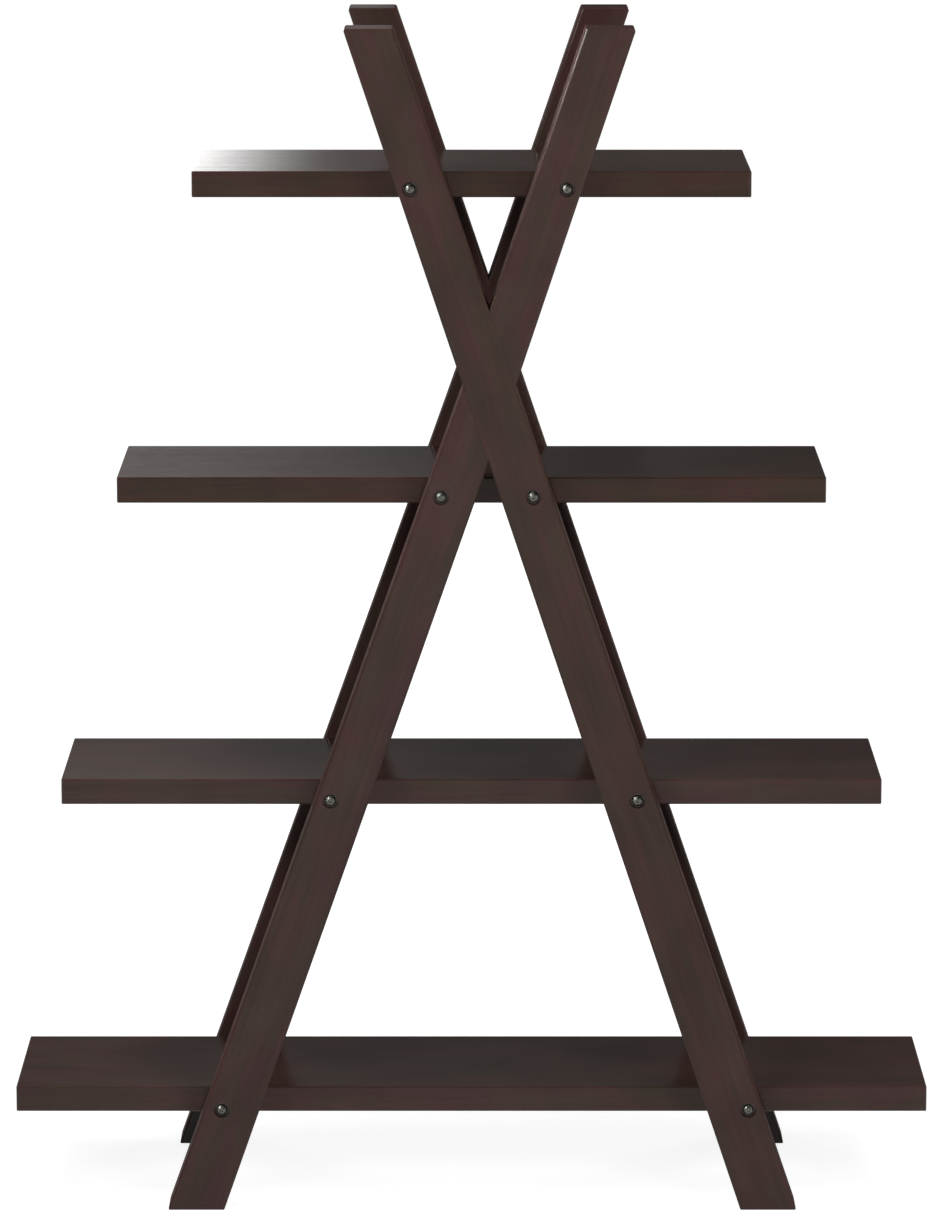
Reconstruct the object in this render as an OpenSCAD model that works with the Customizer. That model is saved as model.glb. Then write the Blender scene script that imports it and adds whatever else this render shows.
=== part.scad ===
// Four-tier bookcase with crossed legs: plank shelves that grow longer towards the floor,
// bolted between a front and a back X frame of flush, leaning legs.
// The floor is z = 0, the front is -y, and the middle of every shelf is x = 0.

/* [Overall] */
// Height of the leg tops above the floor
height = 1200; // [1150:5:1300]

/* [Shelves] */
// Depth of every shelf, front edge to back edge
shelf_depth = 203; // [180:1:300]
// Thickness of every shelf
shelf_thickness = 26; // [22:0.5:32]
// Rounding of the shelves' long edges and ends
shelf_edge_r = 1.5; // [1:0.5:4]
// Rounding of the shelves' corners, seen from above
shelf_corner_r = 4; // [2:0.5:10]
// Length of the top shelf
top_shelf_length = 556; // [480:1:640]
// Length of the second shelf
second_shelf_length = 711; // [500:1:760]
// Length of the third shelf
third_shelf_length = 830; // [640:1:900]
// Length of the bottom shelf
bottom_shelf_length = 930; // [760:1:1100]
// Height of the top shelf's upper face
top_shelf_height = 1055; // [1020:1:1090]
// Height of the second shelf's upper face
second_shelf_height = 747.5; // [660:0.5:760]
// Height of the third shelf's upper face
third_shelf_height = 438.5; // [360:0.5:520]
// Height of the bottom shelf's upper face
bottom_shelf_height = 117.5; // [80:0.5:200]

/* [Legs] */
// Thickness of every leg, front face to back face
leg_thickness = 45; // [40:1:55]
// Width of a leg across its face at the floor
leg_foot_width = 54; // [48:0.5:60]
// Width of a leg across its face at the top
leg_top_width = 47; // [44:0.5:56]
// Angle from the vertical of the long legs and the upper short legs
leg_angle = 18.6; // [17.5:0.1:19.5]
// Angle from the vertical of the lower short legs, which splay a little more
lower_leg_angle = 19.4; // [17.5:0.1:20]
// Height at which the legs' centre lines cross
cross_height = 845; // [835:1:870]
// How far the crossing stands to the right of the shelves' middle
cross_offset = 17.6; // [-20:0.2:20]
// Rounding of the legs' long edges
leg_edge_r = 3; // [1.5:0.5:4]
// Rounding of the front and back edges of the legs' level ends
leg_end_r = 1.5; // [0.5:0.5:3]
// Rounding of the legs' corners at the top, seen from the front
top_corner_r = 3; // [1:0.5:6]
// Rounding of the legs' corners at the floor, seen from the front
foot_corner_r = 1.5; // [1:0.5:6]
// Glue line between a short leg and the long leg
glue_gap = 0.15; // [0.05:0.05:0.3]

/* [Dowels] */
// Diameter of the dowels at the crossing
dowel_d = 8; // [6:1:10]
// Length of the dowels at the crossing
dowel_length = 40; // [30:1:40]
// Chamfer of the dowels' ends
dowel_chamfer = 1; // [0.5:0.1:2]
// Distance of the first dowel from the inner end of its butt joint
dowel_inset = 20; // [16:1:22]
// Distance between the two dowels of a butt joint
dowel_pitch = 22; // [16:1:22]
// Extra diameter of the dowel holes
dowel_fit = 0.1; // [0.05:0.05:0.3]
// Extra depth of the dowel holes, for glue
dowel_end_gap = 0.8; // [0.3:0.1:1.5]

/* [Bolts] */
// Diameter of the bolt shanks
bolt_d = 6; // [5:0.5:7]
// How far the bolt tips stand out of the barrel nuts
bolt_past_nut = 2.1; // [0.5:0.1:4]
// Diameter of the domed heads
head_d = 11.5; // [10:0.5:12.5]
// Height of the domed heads
head_h = 3.3; // [2.8:0.1:4]
// Height of the straight rim below the dome
head_rim_h = 0.8; // [0.4:0.1:1.2]
// Width across the flats of the hexagon socket
socket_af = 4; // [3:0.5:5]
// Depth of the hexagon socket
socket_depth = 2; // [1.5:0.1:2.4]
// Chamfer of the bolt tips
tip_chamfer = 0.8; // [0.3:0.1:1.2]
// Extra diameter of the bolt holes in legs and shelves
bolt_clearance = 1; // [0.5:0.1:2]
// Depth of the bolt holes past the bolt tips
bolt_hole_spare = 3; // [1:0.5:8]
// Distance of the bolts outwards from the centre line of the long legs, top shelf first
long_leg_bolt_outset = [12, 7, 8, 14]; // [0:0.5:15]
// Distance of the bolts outwards from the centre line of the short legs, top shelf first
short_leg_bolt_outset = [10.5, 9, 11.5, 10]; // [0:0.5:15]

/* [Washers and counterbores] */
// Outer diameter of the washers
washer_d = 13.5; // [12:0.5:14.5]
// Thickness of the washers
washer_thickness = 1.2; // [0.8:0.1:2]
// Extra diameter of the washer's bore over the bolt
washer_fit = 0.4; // [0.2:0.1:0.8]
// Diameter of the counterbores in the legs
counterbore_d = 15.5; // [15:0.5:18]
// How far the top of a head lies below the leg's face
head_recess = 0.8; // [0.2:0.1:3]

/* [Barrel nuts] */
// Diameter of the barrel nuts
nut_d = 10; // [9:0.5:12]
// Length of the barrel nuts
nut_length = 14; // [12:0.5:17]
// Extra diameter of the nut holes in the shelves
nut_fit = 0.1; // [0.05:0.05:0.3]
// Extra diameter of the nut's cross bore over the bolt
thread_fit = 0.1; // [0.05:0.05:0.2]
// Distance from the shelf's edge to the nut's axis
nut_inset = 27; // [24:0.5:28]
// Width of the screwdriver slot in the nut's end
slot_w = 1.4; // [1:0.1:2]
// Depth of the screwdriver slot in the nut's end
slot_depth = 1.6; // [1:0.1:2.5]

/* [Hidden] */
$fn = 64;

// Shelves from the top down, and the frames, front first
SHELVES = ["top_shelf", "second_shelf", "third_shelf", "bottom_shelf"];
FRAMES = ["front", "back"];
SIDES = ["left", "right"];

shelf_lengths = [top_shelf_length, second_shelf_length, third_shelf_length, bottom_shelf_length];
shelf_heights = [top_shelf_height, second_shelf_height, third_shelf_height, bottom_shelf_height];

espresso = "#46322f";
steel = "#b9bbbd";
beech = "#c9a878";

// Planes of the front frame, from the outside in
frame_face_y = -shelf_depth / 2 - leg_thickness;
frame_mid_y = -shelf_depth / 2 - leg_thickness / 2;
head_top_y = frame_face_y + head_recess;
head_seat_y = head_top_y + head_h;
counterbore_floor_y = head_seat_y + washer_thickness;
nut_y = -shelf_depth / 2 + nut_inset;
bolt_tip_y = nut_y + nut_d / 2 + bolt_past_nut;
bolt_length = bolt_tip_y - head_seat_y;

// Length that takes a cutting or rounding body well past the piece it shapes
past = 2 * leg_foot_width;
// How much a rounding arc is oversized, and how much more where it ends on another rounding
arc_excess = 0.01;
blend_excess = 0.1;

// A leg is [angle from the vertical, side of its foot]: +1 stands to the right, -1 to the left
LONG = [leg_angle, 1];
UPPER_SHORT = [leg_angle, -1];
LOWER_SHORT = [lower_leg_angle, -1];

// Centre line, width and flanks of a leg at a height z; flank +1 is the right one
function axis_x(leg, z) = cross_offset + leg[1] * (cross_height - z) * tan(leg[0]);
function leg_width(z) = leg_foot_width + (leg_top_width - leg_foot_width) * z / height;
function flank_x(leg, flank, z) = axis_x(leg, z) + flank * leg_width(z) / 2 / cos(leg[0]);

// Angle of a flank from the vertical, towards +x
function flank_angle(leg, flank) =
    atan((flank_x(leg, flank, height) - flank_x(leg, flank, 0)) / height);

// Height at which a flank of one leg meets a flank of another, moved outwards by a gap
function meeting_z(leg_a, flank_a, leg_b, flank_b, gap = 0) =
    let (
        shift = flank_b * gap / cos(flank_angle(leg_b, flank_b)),
        apart_at_floor = flank_x(leg_b, flank_b, 0) + shift - flank_x(leg_a, flank_a, 0),
        apart_at_top = flank_x(leg_b, flank_b, height) + shift - flank_x(leg_a, flank_a, height)
    )
    height * apart_at_floor / (apart_at_floor - apart_at_top);
function flank_point(leg, flank, z) = [flank_x(leg, flank, z), z];

// Which leg a bolt goes through: the legs change sides at the crossing
function is_long(shelf, side) = (shelf == 0) == (side == 0);
function bolt_leg(shelf, side) =
    is_long(shelf, side) ? LONG : shelf == 0 ? UPPER_SHORT : LOWER_SHORT;
function bolt_outset(shelf, side) =
    is_long(shelf, side) ? long_leg_bolt_outset[shelf] : short_leg_bolt_outset[shelf];
function bolt_z(shelf) = shelf_heights[shelf] - shelf_thickness / 2;
function bolt_x(shelf, side) =
    axis_x(bolt_leg(shelf, side), bolt_z(shelf)) + (2 * side - 1) * bolt_outset(shelf, side);

// Unit vector from one point to another
function towards(from, to) = (to - from) / norm(to - from);

// Rectangle from the origin with all four corners rounded
module rounded_rectangle(size, r) {
    translate([r, 0]) square([size[0] - 2 * r, size[1]]);
    translate([0, r]) square([size[0], size[1] - 2 * r]);
    for (x = [r, size[0] - r], y = [r, size[1] - r]) translate([x, y]) circle(r);
}

// What a rounded corner loses: the kite between the corner and the centre of its arc, less the arc.
// The arc is drawn a hair too large, so that it crosses the two sides instead of just touching them
module corner_waste(corner, before, after, r) {
    along_before = towards(corner, before);
    along_after = towards(corner, after);
    half = acos(along_before * along_after) / 2;
    centre = corner + towards([0, 0], along_before + along_after) * r / sin(half);
    start = corner + along_before * r / tan(half);
    end = corner + along_after * r / tan(half);
    difference() {
        polygon([centre, 2 * start - centre, 2 * corner - centre, 2 * end - centre]);
        translate(centre) circle(r + arc_excess);
    }
}

// Turns a drawing in x and z into a slab centred on the front frame
module frame_slab(thickness = leg_thickness) {
    translate([0, frame_mid_y, 0])
        rotate([90, 0, 0])
            linear_extrude(thickness, center = true) children();
}

// What the two long edges of one flank lose when they are rounded
module flank_waste(leg, flank, r = leg_edge_r) {
    angle = flank_angle(leg, flank);
    translate([flank_x(leg, flank, 0), frame_mid_y, 0])
        rotate([0, angle, 0])
            translate([0, 0, -past])
                linear_extrude(height / cos(angle) + 2 * past)
                    for (face = [-1, 1]) {
                        corner = [0, face * leg_thickness / 2];
                        corner_waste(corner, corner - [flank, 0], [0, 0], r);
                    }
}

// What the level ends lose along their front and back edges
module level_waste() {
    translate([-height, frame_mid_y, 0])
        rotate([90, 0, 90])
            linear_extrude(2 * height)
                for (face = [-1, 1], z = [0, height]) {
                    corner = [face * leg_thickness / 2, z];
                    corner_waste(corner, [0, z], [corner[0], height / 2], leg_end_r);
                }
}

// What the corners of the level ends lose, seen from the front
module end_corner_waste(leg) {
    for (flank = [-1, 1], z = [0, height]) {
        corner = flank_point(leg, flank, z);
        frame_slab(2 * leg_thickness)
            corner_waste(
                corner, [axis_x(leg, z), z], flank_point(leg, flank, height / 2),
                z == 0 ? foot_corner_r : top_corner_r
            );
    }
}

// Square-edged leg that runs unbroken from the floor to the top
module whole_leg_blank(leg) {
    frame_slab() polygon([
        flank_point(leg, -1, 0), flank_point(leg, 1, 0),
        flank_point(leg, 1, height), flank_point(leg, -1, height)
    ]);
}

// Bolt hole and counterbore through the front frame
module leg_bolt_hole(shelf, side) {
    translate([bolt_x(shelf, side), 0, bolt_z(shelf)])
        rotate([-90, 0, 0]) {
            translate([0, 0, frame_face_y - past])
                cylinder(d = bolt_d + bolt_clearance, h = leg_thickness + 2 * past);
            translate([0, 0, frame_face_y - past])
                cylinder(d = counterbore_d, h = counterbore_floor_y - frame_face_y + past);
        }
}

// Rounds one flank of the long leg, except where a short leg butts against it: there both faces
// run on without a groove, and the rounding of one leg turns into that of the other
module long_leg_flank_waste(flank, short_leg) {
    difference() {
        flank_waste(LONG, flank);
        difference() {
            whole_leg_blank(short_leg);
            flank_waste(short_leg, -1, leg_edge_r + blend_excess);
            flank_waste(short_leg, 1, leg_edge_r + blend_excess);
        }
    }
}

// Puts its children on the dowel axes of one butt joint, with z across the glue line
module at_dowels(short_leg, flank) {
    inner_end = meeting_z(LONG, flank, short_leg, -flank);
    angle = flank_angle(LONG, flank);
    for (i = [0:1]) {
        z = inner_end - flank * (dowel_inset + i * dowel_pitch) * cos(angle);
        translate([flank_x(LONG, flank, z), frame_mid_y, z])
            rotate([0, 90 + angle, 0])
                children();
    }
}

module dowel_hole() {
    cylinder(d = dowel_d + dowel_fit, h = dowel_length + 2 * dowel_end_gap, center = true);
}

module dowel() {
    rotate_extrude()
        polygon([
            [0, -dowel_length / 2],
            [dowel_d / 2 - dowel_chamfer, -dowel_length / 2],
            [dowel_d / 2, -dowel_length / 2 + dowel_chamfer],
            [dowel_d / 2, dowel_length / 2 - dowel_chamfer],
            [dowel_d / 2 - dowel_chamfer, dowel_length / 2],
            [0, dowel_length / 2]
        ]);
}

// Moves a piece of the front frame to the frame it belongs to: the back one is its mirror image
module in_frame(frame) {
    if (frame == "front") children();
    else mirror([0, 1, 0]) children();
}

module long_leg(frame) {
    color(espresso) in_frame(frame) difference() {
        whole_leg_blank(LONG);
        long_leg_flank_waste(-1, LOWER_SHORT);
        long_leg_flank_waste(1, UPPER_SHORT);
        level_waste();
        end_corner_waste(LONG);
        for (shelf = [0:3]) leg_bolt_hole(shelf, shelf == 0 ? 0 : 1);
        at_dowels(LOWER_SHORT, -1) dowel_hole();
        at_dowels(UPPER_SHORT, 1) dowel_hole();
    }
}

// Short leg between a level end at the height end_z and its butt joint on the long leg
module short_leg_blank(leg, end_z, flank) {
    frame_slab() polygon([
        flank_point(leg, -1, end_z),
        flank_point(leg, 1, end_z),
        flank_point(leg, 1, meeting_z(leg, 1, LONG, flank, glue_gap)),
        flank_point(leg, -1, meeting_z(leg, -1, LONG, flank, glue_gap))
    ]);
}

module upper_short_leg(frame) {
    color(espresso) in_frame(frame) difference() {
        short_leg_blank(UPPER_SHORT, height, 1);
        flank_waste(UPPER_SHORT, -1);
        flank_waste(UPPER_SHORT, 1);
        level_waste();
        end_corner_waste(UPPER_SHORT);
        leg_bolt_hole(0, 1);
        at_dowels(UPPER_SHORT, 1) dowel_hole();
    }
}

module lower_short_leg(frame) {
    color(espresso) in_frame(frame) difference() {
        short_leg_blank(LOWER_SHORT, 0, -1);
        flank_waste(LOWER_SHORT, -1);
        flank_waste(LOWER_SHORT, 1);
        level_waste();
        end_corner_waste(LOWER_SHORT);
        for (shelf = [1:3]) leg_bolt_hole(shelf, 0);
        at_dowels(LOWER_SHORT, -1) dowel_hole();
    }
}

module crossing_dowels(frame) {
    color(beech) in_frame(frame) {
        at_dowels(LOWER_SHORT, -1) dowel();
        at_dowels(UPPER_SHORT, 1) dowel();
    }
}

// Shelf plank with every edge eased, its upper face at z = 0
module plank(length) {
    translate([0, 0, -shelf_thickness])
        intersection() {
            translate([-length / 2, shelf_depth, 0])
                rotate([90, 0, 0])
                    linear_extrude(2 * shelf_depth)
                        rounded_rectangle([length, shelf_thickness], shelf_edge_r);
            translate([-length, -shelf_depth / 2, 0])
                rotate([90, 0, 90])
                    linear_extrude(2 * length)
                        rounded_rectangle([shelf_depth, shelf_thickness], shelf_edge_r);
            translate([-length / 2, -shelf_depth / 2, 0])
                linear_extrude(shelf_thickness)
                    rounded_rectangle([length, shelf_depth], shelf_corner_r);
        }
}

// Blind bolt hole into the shelf's edge and the nut hole that crosses it from below
module shelf_bolt_holes(shelf, side) {
    translate([bolt_x(shelf, side), 0, bolt_z(shelf)]) {
        translate([0, frame_mid_y, 0])
            rotate([-90, 0, 0])
                cylinder(d = bolt_d + bolt_clearance, h = bolt_tip_y + bolt_hole_spare - frame_mid_y);
        translate([0, nut_y, -shelf_thickness])
            cylinder(d = nut_d + nut_fit, h = shelf_thickness + nut_length / 2);
    }
}

module shelf_board(shelf) {
    color(espresso) difference() {
        translate([0, 0, shelf_heights[shelf]]) plank(shelf_lengths[shelf]);
        for (frame = FRAMES, side = [0, 1]) in_frame(frame) shelf_bolt_holes(shelf, side);
    }
}

// Half section of a bolt: x is the radius, y runs out of the leg, and the head seats at y = 0
module bolt_section() {
    dome_h = head_h - head_rim_h;
    dome_r = (head_d * head_d / 4 + dome_h * dome_h) / (2 * dome_h);
    translate([0, -bolt_length])
        polygon([
            [0, 0],
            [bolt_d / 2 - tip_chamfer, 0],
            [bolt_d / 2, tip_chamfer],
            [bolt_d / 2, bolt_length],
            [0, bolt_length]
        ]);
    square([head_d / 2, head_rim_h]);
    intersection() {
        translate([0, head_h - dome_r]) circle(dome_r);
        translate([0, head_rim_h]) square([head_d / 2, dome_h]);
    }
}

module bolt(shelf, frame, side) {
    color(steel) in_frame(frame)
        translate([bolt_x(shelf, side), head_seat_y, bolt_z(shelf)])
            rotate([90, 0, 0])
                difference() {
                    rotate_extrude() bolt_section();
                    translate([0, 0, head_h - socket_depth])
                        cylinder(d = socket_af / cos(30), h = head_h, $fn = 6);
                }
}

module washers(shelf) {
    color(steel)
        for (frame = FRAMES, side = [0, 1]) in_frame(frame)
            translate([bolt_x(shelf, side), head_seat_y, bolt_z(shelf)])
                rotate([-90, 0, 0])
                    difference() {
                        cylinder(d = washer_d, h = washer_thickness);
                        translate([0, 0, -washer_thickness])
                            cylinder(d = bolt_d + washer_fit, h = 3 * washer_thickness);
                    }
}

// Barrel nut: an upright cylinder with a cross bore for the bolt and a slot to turn it by
module barrel_nut(shelf, frame, side) {
    color(steel) in_frame(frame)
        translate([bolt_x(shelf, side), nut_y, bolt_z(shelf)])
            difference() {
                cylinder(d = nut_d, h = nut_length, center = true);
                rotate([90, 0, 0])
                    cylinder(d = bolt_d + thread_fit, h = 2 * nut_d, center = true);
                translate([-nut_d, -slot_w / 2, -nut_length])
                    cube([2 * nut_d, slot_w, nut_length / 2 + slot_depth]);
            }
}

for (shelf = [0:3]) {
    shelf_board(shelf);
    washers(shelf);
}
for (frame = FRAMES) {
    long_leg(frame);
    upper_short_leg(frame);
    lower_short_leg(frame);
    crossing_dowels(frame);
}
for (shelf = [0:3], frame = FRAMES, side = [0, 1]) {
    place = str(SHELVES[shelf], "_", frame, "_", SIDES[side]);
    bolt(shelf, frame, side);
    barrel_nut(shelf, frame, side);
}
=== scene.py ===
import math

import bpy
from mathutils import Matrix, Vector

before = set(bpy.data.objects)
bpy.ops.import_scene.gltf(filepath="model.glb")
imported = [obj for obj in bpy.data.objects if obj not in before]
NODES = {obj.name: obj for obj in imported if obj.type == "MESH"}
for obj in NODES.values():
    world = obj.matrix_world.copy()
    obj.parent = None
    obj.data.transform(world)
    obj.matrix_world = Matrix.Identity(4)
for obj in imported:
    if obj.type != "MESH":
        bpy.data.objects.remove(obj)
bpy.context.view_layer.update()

X, Y, Z = 0, 1, 2

# The photograph's height and the camera worked out from it, in pixels, millimetres, metres and
# degrees
IMAGE_HEIGHT_PX = 1215
FOCAL_LENGTH_PX = 5880
SENSOR_HEIGHT_MM = 36
CAMERA_PLACE = (-0.0015, -5.912, 1.6994)
CAMERA_PITCH = 10.571
CAMERA_REACH = 200.0

# Lean of the legs from the vertical, towards +x as they rise, in degrees
LONG_LEG_LEAN = -18.6
UPPER_LEG_LEAN = 18.6
LOWER_LEG_LEAN = 19.4

# Colours in linear light
ESPRESSO_DARK = (0.030, 0.0162, 0.0150)
ESPRESSO = (0.052, 0.0277, 0.0254)
ESPRESSO_LIGHT = (0.079, 0.0420, 0.0375)
STAIN_RED = (0.063, 0.0285, 0.0270)
STAIN_OLIVE = (0.048, 0.0345, 0.0235)
END_GRAIN = (0.020, 0.013, 0.012)
WORN_EDGE = (0.100, 0.058, 0.046)
STEEL = (0.108, 0.109, 0.098)
STEEL_WORN = (0.165, 0.164, 0.149)
ZINC = (0.36, 0.36, 0.34)
ZINC_CLOUDED = (0.28, 0.28, 0.27)
STEEL_DARK = (0.11, 0.10, 0.09)
STEEL_STAINED = (0.075, 0.066, 0.058)
BEECH = (0.52, 0.35, 0.19)
BEECH_DARK = (0.38, 0.23, 0.11)
FLOOR_DULL = (0.30, 0.30, 0.30)
FLOOR_PALE = (0.32, 0.32, 0.32)
WHITE = (1.0, 1.0, 1.0)

# Tints that the wood of each piece is multiplied by
TINT_PLAIN = (1.0, 1.0, 1.0)
TINT_BROWN = (0.80, 0.73, 0.62)
TINT_DIM = (0.93, 0.90, 0.90)
TINT_OLIVE = (0.91, 0.87, 0.83)

# Each wooden piece: its lean, or None for a shelf, the place in the grain that it is cut from,
# and its tint
WOODS = {
    "top_shelf": (None, (0.31, 0.17, 0.53), TINT_BROWN),
    "second_shelf": (None, (1.37, 0.71, 0.29), TINT_BROWN),
    "third_shelf": (None, (2.11, 1.33, 0.87), TINT_PLAIN),
    "bottom_shelf": (None, (3.49, 2.07, 1.61), TINT_PLAIN),
    "front_long_leg": (LONG_LEG_LEAN, (4.13, 3.19, 2.39), TINT_OLIVE),
    "back_long_leg": (LONG_LEG_LEAN, (5.27, 4.03, 3.11), TINT_DIM),
    "front_upper_short_leg": (UPPER_LEG_LEAN, (6.61, 5.17, 4.73), TINT_DIM),
    "back_upper_short_leg": (UPPER_LEG_LEAN, (7.43, 6.29, 5.51), TINT_DIM),
    "front_lower_short_leg": (LOWER_LEG_LEAN, (8.71, 7.37, 6.13), TINT_DIM),
    "back_lower_short_leg": (LOWER_LEG_LEAN, (9.29, 8.59, 7.67), TINT_DIM),
}

# The stretch of a noise's values that a finish is spread over: most of them for a soft change, and
# fewer for a hard one
SOFT = (0.30, 0.70)
HARD = (0.35, 0.65)
NOISE_MIDDLE = 0.5

# Wood: features of each noise in a metre, along the grain and twice across it
WANDER_SCALE = (1.6, 9, 9)
FIGURE_SCALE = (2.2, 60, 60)
STREAK_SCALE = (5, 260, 260)
PORE_SCALE = (40, 1500, 1500)
STAIN_SCALE = (12, 42, 42)
RING_SCALE = (30, 420, 420)
BLOTCH_SCALE = 16.0

# Wood: how much of each layer shows
WANDER_REACH = 0.05
FIGURE_SHARE = 0.6
STREAK_SHARE = 0.4
TONE_STOPS = [(0.35, ESPRESSO_DARK), (0.50, ESPRESSO), (0.66, ESPRESSO_LIGHT)]
STAIN_STOPS = [(0.40, STAIN_RED), (0.60, STAIN_OLIVE)]
STAIN_SHARE = 0.6
BLOTCH_SHADE = (0.88, 1.11)
PORE_SPAN = (0.60, 0.72)
PORE_SHARE = 0.35
RING_SHARE = 0.7
WORN_SPAN = (0.45, 0.60)
WORN_SHARE = (0.0, 0.15)

# Wood: how squarely a face looks to the end, or to the front or back, from where it begins to count
# as an end, a flank or a rounding to where it fully does
END_FACING = (0.80, 0.97)
FLANK_FACING = (0.75, 0.50)
PAST_FLANK = (0.35, 0.45)
SHORT_OF_FRONT = (0.97, 0.90)

# Wood: roughness, relief and shine of the lacquer
SATIN = (0.13, 0.19)
MATT_FLANK = 0.85
MATT_END = 0.5
STREAK_HEIGHT = 0.5
PORE_DEPTH = 0.35
WOOD_BUMP = (0.10, 0.0006)
LACQUER_SHINE = 0.15

# Metal: features in a metre, roughness and its spread, and relief
PATCH_SCALE = 420.0
SCRATCH_SCALE = (900, 900, 5200)
BOLT_ROUGHNESS = 0.42
NUT_ROUGHNESS = 0.36
WASHER_ROUGHNESS = 0.45
SMOOTHER = 0.05
ROUGHER = 0.08
METAL_BUMP = (0.08, 0.0001)

# Beech of the dowels
BEECH_GRAIN_SCALE = (60, 900, 900)
FLECK_SCALE = (300, 2600, 2600)
FLECK_SPAN = (0.58, 0.70)
FLECK_SHARE = 0.6
BEECH_ROUGHNESS = (0.55, 0.70)
BEECH_BUMP = (0.1, 0.0003)

# Studio: the floor, how bright it shows at two distances from the middle, and the world's level
FLOOR_SIDE = 160.0
SPECKLE_SCALE = 60.0
GLOW_REACH = (1.4, 3.5)
GLOW_LEVEL = (0.87, 1.0)
WORLD_LEVEL = 0.06

# Sockets of Blender's Mix node when it mixes colours
MIX_FACTOR, MIX_UNDER, MIX_OVER = 0, 6, 7
MIX_RESULT = 2


class Nodes:
    """A node tree, with short calls for the nodes that the finishes and the lamps are made of."""

    def __init__(self, tree, output):
        self.tree = tree
        self.tree.nodes.clear()
        self.output = self.node(output)

    def node(self, kind, inputs=None, **settings):
        made = self.tree.nodes.new("ShaderNode" + kind)
        for name, value in settings.items():
            setattr(made, name, value)
        for socket, value in (inputs or {}).items():
            self.set(made.inputs[socket], value)
        return made

    def set(self, socket, value):
        if isinstance(value, bpy.types.NodeSocket):
            self.tree.links.new(value, socket)
        elif isinstance(value, tuple) and len(value) == 3 and socket.type == "RGBA":
            socket.default_value = (*value, 1.0)
        else:
            socket.default_value = value

    def surface(self, shader):
        self.tree.links.new(shader.outputs[0], self.output.inputs[0])

    def maths(self, operation, value, other=0.0):
        return self.node("Math", {0: value, 1: other}, operation=operation).outputs[0]

    def times(self, value, other):
        return self.maths("MULTIPLY", value, other)

    def split(self, vector):
        return self.node("SeparateXYZ", {0: vector}).outputs

    def place(self):
        """The point's place in the shared frame."""
        return self.node("TexCoord").outputs["Object"]

    def noise(self, vector, scale, detail, roughness=0.55):
        """Noise whose scale is one number, or one for each axis."""
        if isinstance(scale, tuple):
            stretch = self.node("VectorMath", {0: vector, 1: scale}, operation="MULTIPLY")
            vector, scale = stretch.outputs[0], 1.0
        inputs = {"Vector": vector, "Scale": scale, "Detail": detail, "Roughness": roughness}
        return self.node("TexNoise", inputs).outputs[0]

    def remap(self, value, span, result=(0.0, 1.0)):
        """The value's run through span, as a run through result, held at its ends."""
        inputs = {"Value": value, "From Min": span[0], "From Max": span[1],
                  "To Min": result[0], "To Max": result[1]}
        return self.node("MapRange", inputs).outputs[0]

    def mix(self, factor, under, over, blend="MIX"):
        inputs = {MIX_FACTOR: factor, MIX_UNDER: under, MIX_OVER: over}
        return self.node("Mix", inputs, data_type="RGBA", blend_type=blend).outputs[MIX_RESULT]

    def ramp(self, value, stops):
        made = self.node("ValToRGB", {"Fac": value})
        points = made.color_ramp.elements
        while len(points) < len(stops):
            points.new(1.0)
        for point, (place, colour) in zip(points, stops):
            point.position = place
            point.color = (*colour, 1.0)
        return made.outputs[0]

    def bump(self, height, strength, distance):
        inputs = {"Height": height, "Strength": strength, "Distance": distance}
        return self.node("Bump", inputs).outputs[0]


class Finish(Nodes):
    """A material and its node tree."""

    def __init__(self, name):
        self.material = bpy.data.materials.new(name)
        self.material.use_nodes = True
        super().__init__(self.material.node_tree, "OutputMaterial")

    def principled(self, inputs):
        self.surface(self.node("BsdfPrincipled", inputs))
        return self.material


def along_grain(wood, lean, offset):
    """Coordinates whose first axis runs along the piece."""
    turn = 0.0 if lean is None else math.radians(90 - lean)
    inputs = {"Vector": wood.place(), "Rotation": (0, turn, 0), "Location": offset}
    return wood.node("Mapping", inputs).outputs[0]


def wavy_grain(wood, along):
    """The same coordinates, shifted a little to and fro so that no grain is ruled straight."""
    wander = wood.noise(along, WANDER_SCALE, detail=2)
    shift = wood.times(wood.maths("SUBTRACT", wander, NOISE_MIDDLE), WANDER_REACH)
    parts = wood.split(along)
    inputs = {X: parts[X]}
    for axis in (Y, Z):
        inputs[axis] = wood.maths("ADD", parts[axis], shift)
    return wood.node("CombineXYZ", inputs).outputs[0]


def stained(wood, tone, along):
    """Light and dark grain under clouds of redder and more olive stain."""
    hue = wood.noise(along, STAIN_SCALE, detail=2)
    return wood.mix(STAIN_SHARE, wood.ramp(tone, TONE_STOPS), wood.ramp(hue, STAIN_STOPS))


def tinted(wood, colour, along, tint):
    """The colour in the piece's own tint, with soft blotches."""
    blotches = wood.noise(along, BLOTCH_SCALE, detail=2, roughness=0.5)
    shade = wood.remap(blotches, SOFT, BLOTCH_SHADE)
    grey = wood.node("CombineColor", {0: shade, 1: shade, 2: shade}).outputs[0]
    return wood.mix(1.0, colour, wood.mix(1.0, grey, tint, "MULTIPLY"), "MULTIPLY")


def end_grained(wood, colour, along, is_end):
    """The colour, darker and ringed where the piece is cut across."""
    rings = wood.noise(along, RING_SCALE, detail=3)
    cut = wood.mix(wood.remap(rings, HARD), END_GRAIN, ESPRESSO)
    return wood.mix(wood.times(is_end, RING_SHARE), colour, cut)


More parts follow.
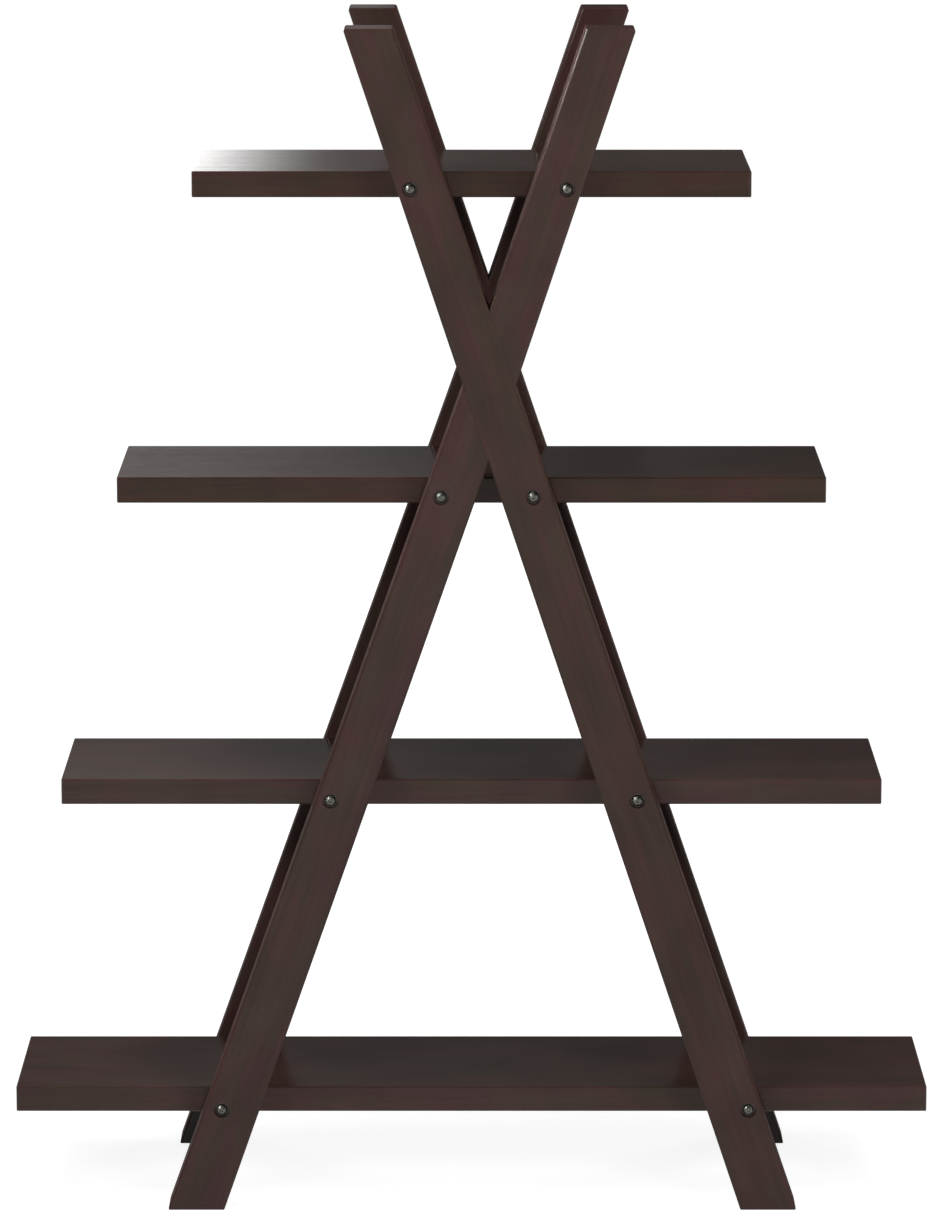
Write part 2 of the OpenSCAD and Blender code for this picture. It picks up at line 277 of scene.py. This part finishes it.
def facings(wood, lean):
    """From 0 to 1, how far a point is on an end, on a flank and on a rounding beside the front or
    back face."""
    normal = wood.split(wood.node("NewGeometry").outputs["True Normal"])
    to_end = wood.maths("ABSOLUTE", normal[X if lean is None else Z])
    to_front = wood.maths("ABSOLUTE", normal[Y])
    is_end = wood.remap(to_end, END_FACING)
    is_flank = wood.maths("SUBTRACT", wood.remap(to_front, FLANK_FACING), is_end)
    is_rounding = wood.times(wood.remap(to_front, PAST_FLANK), wood.remap(to_front, SHORT_OF_FRONT))
    return is_end, is_flank, is_rounding


def lacquered(wood, tone, lean, is_end, is_flank):
    """Satin roughness that follows the tone. The flanks and ends of the legs are more matt."""
    satin = wood.remap(tone, SOFT, SATIN)
    if lean is None:
        return satin
    matt = wood.maths("MAXIMUM", wood.times(is_flank, MATT_FLANK), wood.times(is_end, MATT_END))
    return wood.maths("MAXIMUM", satin, matt)


def espresso(name, lean, offset, tint):
    """Espresso-stained, satin-lacquered wood whose grain runs along a piece. A lean of None is a
    shelf, with its grain along x; otherwise it is a leg's lean from the vertical."""
    wood = Finish(name)
    along = along_grain(wood, lean, offset)
    wavy = wavy_grain(wood, along)
    figure = wood.noise(wavy, FIGURE_SCALE, detail=4, roughness=0.6)
    streaks = wood.noise(wavy, STREAK_SCALE, detail=3, roughness=0.6)
    pores = wood.remap(wood.noise(wavy, PORE_SCALE, detail=1), PORE_SPAN)
    tone = wood.maths("ADD", wood.times(figure, FIGURE_SHARE), wood.times(streaks, STREAK_SHARE))
    is_end, is_flank, is_rounding = facings(wood, lean)

    colour = tinted(wood, stained(wood, tone, along), along, tint)
    colour = wood.mix(wood.times(pores, PORE_SHARE), colour, ESPRESSO_DARK)
    colour = end_grained(wood, colour, along, is_end)
    rubbed = wood.times(is_rounding, wood.remap(figure, WORN_SPAN, WORN_SHARE))
    colour = wood.mix(rubbed, colour, WORN_EDGE)
    ridges = wood.times(streaks, STREAK_HEIGHT)
    height = wood.maths("SUBTRACT", ridges, wood.times(pores, PORE_DEPTH))
    return wood.principled({"Base Color": colour, "Specular IOR Level": LACQUER_SHINE,
                            "Roughness": lacquered(wood, tone, lean, is_end, is_flank),
                            "Normal": wood.bump(height, *WOOD_BUMP)})


def brushed_metal(name, plain, patched, roughness):
    """Metal with cloudy patches of a second colour and fine level scratches."""
    metal = Finish(name)
    patches = metal.noise(metal.place(), PATCH_SCALE, detail=3)
    scratches = metal.noise(metal.place(), SCRATCH_SCALE, detail=2)
    gloss = metal.remap(patches, SOFT, (roughness - SMOOTHER, roughness + ROUGHER))
    colour = metal.mix(metal.remap(patches, HARD), plain, patched)
    return metal.principled({"Base Color": colour, "Metallic": 1.0, "Roughness": gloss,
                             "Normal": metal.bump(scratches, *METAL_BUMP)})


def bare_beech(name):
    """Pale wood with short dark flecks, its grain along x."""
    beech = Finish(name)
    grain = beech.noise(beech.place(), BEECH_GRAIN_SCALE, detail=4)
    flecks = beech.remap(beech.noise(beech.place(), FLECK_SCALE, detail=1), FLECK_SPAN)
    colour = beech.mix(beech.remap(grain, HARD), BEECH, BEECH_DARK)
    colour = beech.mix(beech.times(flecks, FLECK_SHARE), colour, BEECH_DARK)
    gloss = beech.remap(grain, SOFT, BEECH_ROUGHNESS)
    return beech.principled({"Base Color": colour, "Roughness": gloss,
                             "Normal": beech.bump(grain, *BEECH_BUMP)})


def dress(node, material):
    mesh = NODES[node].data
    mesh.materials.clear()
    mesh.materials.append(material)


def dress_all():
    for node, (lean, offset, tint) in WOODS.items():
        dress(node, espresso("espresso_" + node, lean, offset, tint))
    hardware = {
        "_bolt": brushed_metal("bolt_steel", STEEL, STEEL_WORN, BOLT_ROUGHNESS),
        "_nut": brushed_metal("plain_steel", ZINC, ZINC_CLOUDED, NUT_ROUGHNESS),
        "_washers": brushed_metal("dark_steel", STEEL_DARK, STEEL_STAINED, WASHER_ROUGHNESS),
        "_dowels": bare_beech("bare_beech"),
    }
    for node in NODES:
        for ending, material in hardware.items():
            if node.endswith(ending):
                dress(node, material)


def make_camera():
    data = bpy.data.cameras.new("camera")
    data.sensor_fit = "VERTICAL"
    data.sensor_height = SENSOR_HEIGHT_MM
    data.lens = FOCAL_LENGTH_PX * SENSOR_HEIGHT_MM / IMAGE_HEIGHT_PX
    data.clip_end = CAMERA_REACH
    camera = bpy.data.objects.new("camera", data)
    camera.location = CAMERA_PLACE
    camera.rotation_euler = (math.radians(90 - CAMERA_PITCH), 0, 0)
    bpy.context.scene.collection.objects.link(camera)
    bpy.context.scene.camera = camera


def pale_floor():
    """A matt floor that the camera and reflections see brighter than the lamps make it."""
    floor = Finish("pale_floor")
    path = floor.node("LightPath").outputs
    seen = floor.maths("MAXIMUM", path["Is Camera Ray"], path["Is Glossy Ray"])
    seen = floor.maths("MAXIMUM", seen, path["Is Transmission Ray"])
    speckle = floor.noise(floor.place(), SPECKLE_SCALE, detail=2)
    colour = floor.mix(floor.remap(speckle, SOFT), FLOOR_DULL, FLOOR_PALE)
    matt = floor.node("BsdfDiffuse", {"Color": colour}).outputs[0]
    reach = floor.node("VectorMath", {0: floor.place()}, operation="LENGTH").outputs["Value"]
    level = floor.remap(reach, GLOW_REACH, GLOW_LEVEL)
    glow = floor.node("Emission", {"Color": WHITE, "Strength": level}).outputs[0]
    lit = floor.node("AddShader", {0: matt, 1: glow}).outputs[0]
    floor.surface(floor.node("MixShader", {0: seen, 1: matt, 2: lit}))
    return floor.material


def make_floor():
    bpy.ops.mesh.primitive_plane_add(size=FLOOR_SIDE, location=(0, 0, 0))
    floor = bpy.context.object
    floor.name = "studio_floor"
    floor.data.materials.append(pale_floor())


def make_world():
    world = bpy.data.worlds.new("studio")
    bpy.context.scene.world = world
    world.use_nodes = True
    background = world.node_tree.nodes["Background"]
    background.inputs["Color"].default_value = (*WHITE, 1.0)
    background.inputs["Strength"].default_value = WORLD_LEVEL


def lamp(name, place, aim, size, power):
    """A soft box, of a power in watts, that lights the surfaces and shows in no reflection."""
    light = bpy.data.lights.new(name, "AREA")
    light.shape = "RECTANGLE"
    light.size, light.size_y = size
    light.energy = power
    holder = bpy.data.objects.new(name, light)
    bpy.context.scene.collection.objects.link(holder)
    holder.location = place
    holder.rotation_euler = (Vector(aim) - Vector(place)).to_track_quat("-Z", "Y").to_euler()
    holder.visible_camera = False
    holder.visible_glossy = False
    return holder


def faded(nodes, level, fades, falloff):
    """The level, brought down to nothing at the panel's left, right, bottom and top. A lamp's
    Parametric output is 1 at its left and at its top, as the object sees it."""
    across, up = nodes.split(nodes.node("NewGeometry").outputs["Parametric"])[:2]
    left, right, bottom, top = fades
    for value, low, high in ((across, 1.0, 1.0 - left), (across, 0.0, right),
                             (up, 0.0, bottom), (up, 1.0, 1.0 - top)):
        inputs = {"Value": value, "From Min": low, "From Max": high}
        ramp = nodes.node("MapRange", inputs, interpolation_type="SMOOTHSTEP").outputs[0]
        level = nodes.times(nodes.maths("POWER", ramp, falloff), level)
    return level


def sheen_panel(name, place, aim, size, level, fades, falloff=1.0):
    """A panel of a given radiance that shows in reflections alone. Its fades are the shares of the
    panel over which it comes up, from the left, right, bottom and top as the object sees it, and
    a falloff above 1 gives them a longer tail. Its power makes the radiance 1 at a strength of 1."""
    power = math.pi * size[0] * size[1]
    holder = lamp(name, place, aim, size, power)
    holder.visible_glossy = True
    holder.visible_diffuse = False
    holder.data.use_nodes = True
    nodes = Nodes(holder.data.node_tree, "OutputLight")
    nodes.surface(nodes.node("Emission", {"Strength": faded(nodes, level, fades, falloff)}))


def make_lamps():
    lamp("front_softbox", (0.0, -5.2, 0.90), aim=(0, 0, 0.62), size=(0.35, 0.8), power=40)
    lamp("front_left", (-2.2, -3.6, 2.4), aim=(0, 0, 0.62), size=(1.4, 1.2), power=45)
    lamp("front_right", (2.2, -3.6, 2.4), aim=(0, 0, 0.62), size=(1.4, 1.2), power=58)
    lamp("high_left", (-1.35, -0.6, 3.2), aim=(0, 0, 0.6), size=(1.5, 1.2), power=50)
    lamp("high_right", (1.6, -1.0, 2.4), aim=(0, 0, 0.6), size=(0.8, 0.8), power=18)
    lamp("back_left", (-2.8, 3.4, 0.9), aim=(0, 0, 0.6), size=(1.2, 1.2), power=70)
    lamp("back_right", (3.0, 2.9, 0.9), aim=(0, 0, 0.6), size=(1.2, 1.2), power=70)


def make_shelf_sheen():
    """The glow on the shelves' tops: soft on the left, fainter at the middle, and strong on the left
    end of the top shelf."""
    sheen_panel("window_left", (-0.65, 2.5, 1.18), aim=(-0.65, 0, 1.18), size=(1.8, 0.5),
                level=0.44, fades=(0.3, 0.556, 0.4, 0.5))
    sheen_panel("window_middle", (-0.1, 2.5, 0.95), aim=(-0.1, 0, 0.95), size=(1.2, 0.8),
                level=0.08, fades=(0.4, 0.4, 0.3, 0.3))
    sheen_panel("shelf_glint", (-0.2625, 0.62, 1.12), aim=(-0.2625, 0.0, 1.12), size=(0.335, 0.14),
                level=3.35, fades=(0.1, 0.83, 0.1, 0.1), falloff=2.1)


def make_leg_sheen():
    """Light on the long legs' top ends, and along the left edge of the front upper short leg. The
    second panel is seen edge-on from the back legs, so that it shows in the front one alone."""
    sheen_panel("leg_glint", (-0.14, 0.62, 1.38), aim=(-0.14, 0.0, 1.38), size=(0.16, 0.30),
                level=1.2, fades=(0.3, 0.3, 0.1, 0.3))
    sheen_panel("edge_glint", (-0.45, -0.27, 1.33), aim=(0.066, -1.127, 1.33), size=(0.5, 0.34),
                level=84, fades=(0.1, 0.1, 0.7, 0.05))


def make_bolt_sheen():
    """The bright spots on the bolts' domed heads, from the left and fainter from the right."""
    sheen_panel("sparkle_left", (-2.4, -2.8, 2.4), aim=(0, 0, 0.7), size=(1.0, 1.9),
                level=44, fades=(0.2, 0.2, 0.3, 0.2))
    sheen_panel("sparkle_right", (2.9, -3.0, 0.9), aim=(0, 0, 0.6), size=(0.8, 1.6),
                level=3.2, fades=(0.2, 0.2, 0.2, 0.2))


bpy.context.scene.view_settings.view_transform = "Standard"
make_camera()
dress_all()
make_floor()
make_world()
make_lamps()
make_shelf_sheen()
make_leg_sheen()
make_bolt_sheen()
